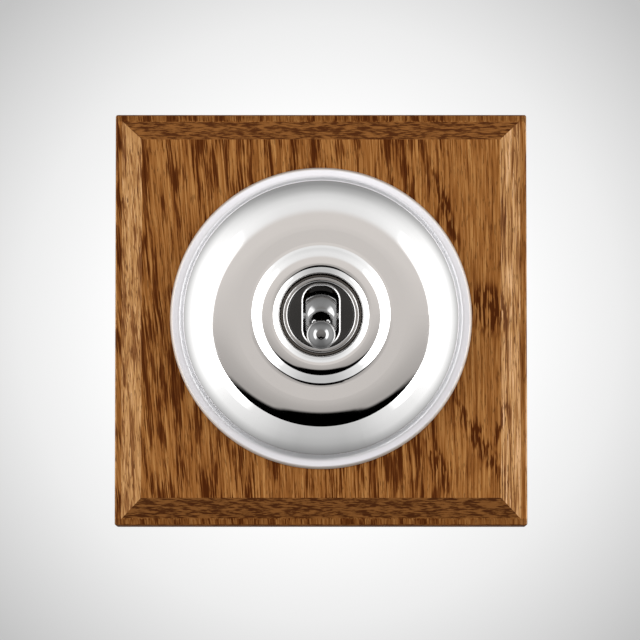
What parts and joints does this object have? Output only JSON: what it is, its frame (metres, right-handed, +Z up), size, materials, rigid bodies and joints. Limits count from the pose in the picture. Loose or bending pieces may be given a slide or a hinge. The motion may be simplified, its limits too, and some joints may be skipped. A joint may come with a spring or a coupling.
{
  "type": "toggle light switch",
  "caption": "Toggle light switch with a ball-ended chrome lever in a polished chrome dome on a square chamfered oak base, fixed over a flush wall box.",
  "frame": {"origin": "middle of the base's back, in the plane of the wall, midway between the two fixing holes", "axes": "-Y out of the wall towards the user, +Z up the wall, +X to the user's right"},
  "size_m": [0.095, 0.0503, 0.095],
  "materials": {
    "oak": "open-grained oak, waxed",
    "chrome": "polished plate",
    "black_moulding": "moulded gloss",
    "zinc_steel": "zinc plated",
    "spring_steel": "bright drawn",
    "brass": "machined",
    "contact_silver": "burnished",
    "insulator": "pressed fibre"
  },
  "bodies": {
    "base": {"oak_base": "oak", "dome_cover": "chrome", "cover_ring": "chrome", "case_front": "black_moulding", "case_rear": "black_moulding", "mounting_plate": "zinc_steel", "plate_screws": "zinc_steel", "pivot_pin": "zinc_steel", "lock_nut": "brass", "earth_screw": "brass", "earth_washer": "brass", "case_rivets": "brass", "common_cradle": "brass", "upper_contact": "brass", "lower_contact": "brass", "common_terminal": "brass", "upper_terminal": "brass", "lower_terminal": "brass", "terminal_screws": "brass", "fixed_contact_tips": "contact_silver"},
    "dolly": {"dolly": "chrome", "dolly_tail": "insulator", "toggle_spring": "spring_steel"},
    "plunger": {"plunger": "insulator"},
    "rocker": {"rocker_contact": "brass", "moving_contact_tips": "contact_silver"}
  },
  "joints": [
    {"name": "dolly_hinge", "type": "hinge", "parent": "base", "child": "dolly", "pos_m": [0, -0.02184, 0], "axis": [-1, 0, 0], "range_deg": [0, 38]},
    {"name": "plunger_slide", "type": "slide", "parent": "dolly", "child": "plunger", "axis": [0, 0.9455, 0.3256], "range_m": [0, 0.0009], "stiffness_N_per_m": 400, "springref_m": 0.004},
    {"name": "rocker_hinge", "type": "hinge", "parent": "base", "child": "rocker", "pos_m": [0, -0.0082, 0], "axis": [-1, 0, 0], "range_deg": [-16, 0]}
  ],
  "couplings": [
    {"joint": "rocker_hinge", "follows": "dolly_hinge", "ratio": -0.42105}
  ]
}
